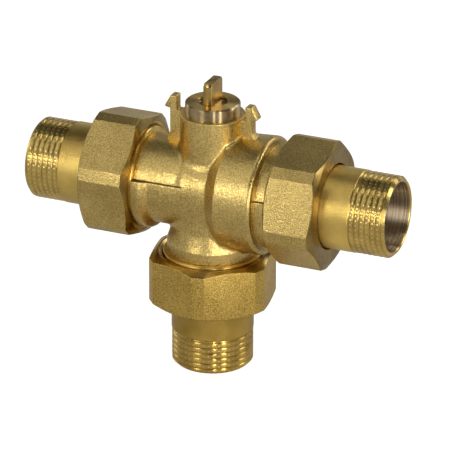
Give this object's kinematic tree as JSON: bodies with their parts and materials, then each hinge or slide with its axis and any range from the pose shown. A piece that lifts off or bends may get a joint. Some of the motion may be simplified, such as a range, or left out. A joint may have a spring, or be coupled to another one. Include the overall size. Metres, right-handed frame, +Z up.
{
  "type": "three-way valve",
  "caption": "Forged brass three-way ball valve with threaded union tails and hex nuts, a turned spigot, clip hooks and a flatted spindle for a motor head.",
  "frame": {"origin": "centre of the bottom tail's end face, on the spindle axis", "axes": "+X along the run towards the right tail, +Z up the spindle, away from the bottom tail"},
  "size_m": [0.1567, 0.0526, 0.1225],
  "materials": {
    "forged_brass": "grainy hot-forged brass, shot-blasted",
    "nut_brass": "forged flats, turned ends",
    "turned_brass": "bright turned brass with fine tool lines",
    "chromed_ball": "polished chrome plate",
    "seat_plastic": "white, waxy",
    "seal_rubber": "black, satin",
    "gasket_rubber": "black, matt, flat-cut"
  },
  "bodies": {
    "valve": {"valve_body": "forged_brass", "seat_left": "seat_plastic", "seat_right": "seat_plastic", "seat_left_o_ring": "seal_rubber", "seat_right_o_ring": "seal_rubber", "seat_retainer": "turned_brass", "retainer_o_ring": "seal_rubber", "stem_thrust_washer": "seat_plastic", "gasket_left": "gasket_rubber", "gasket_right": "gasket_rubber", "gasket_bottom": "gasket_rubber"},
    "spindle": {"ball": "chromed_ball", "stem": "turned_brass", "stem_o_ring_lower": "seal_rubber", "stem_o_ring_upper": "seal_rubber"},
    "left_tail": {"tail_left": "turned_brass"},
    "left_nut": {"nut_left": "nut_brass"},
    "right_tail": {"tail_right": "turned_brass"},
    "right_nut": {"nut_right": "nut_brass"},
    "bottom_tail": {"tail_bottom": "turned_brass"},
    "bottom_nut": {"nut_bottom": "nut_brass"}
  },
  "joints": [
    {"name": "spindle_turn", "type": "hinge", "parent": "valve", "child": "spindle", "pos_m": [0, 0, 0.0767], "axis": [0, 0, 1], "range_deg": [0, 90]},
    {"name": "left_tail_slide", "type": "slide", "parent": "valve", "child": "left_tail", "axis": [-1, 0, 0], "range_m": [0, 0.00924]},
    {"name": "left_nut_turn", "type": "hinge", "parent": "left_tail", "child": "left_nut", "pos_m": [0, 0, 0.0767], "axis": [-1, 0, 0], "range_deg": [0, 1440]},
    {"name": "right_tail_slide", "type": "slide", "parent": "valve", "child": "right_tail", "axis": [1, 0, 0], "range_m": [0, 0.00924]},
    {"name": "right_nut_turn", "type": "hinge", "parent": "right_tail", "child": "right_nut", "pos_m": [0, 0, 0.0767], "axis": [1, 0, 0], "range_deg": [0, 1440]},
    {"name": "bottom_tail_slide", "type": "slide", "parent": "valve", "child": "bottom_tail", "axis": [0, 0, -1], "range_m": [0, 0.00924]},
    {"name": "bottom_nut_turn", "type": "hinge", "parent": "bottom_tail", "child": "bottom_nut", "pos_m": [0, 0, 0.0767], "axis": [0, 0, -1], "range_deg": [0, 1440]}
  ],
  "couplings": [
    {"joint": "left_tail_slide", "follows": "left_nut_turn", "m_per_rad": 0.00036749},
    {"joint": "right_tail_slide", "follows": "right_nut_turn", "m_per_rad": 0.00036749},
    {"joint": "bottom_tail_slide", "follows": "bottom_nut_turn", "m_per_rad": 0.00036749}
  ]
}
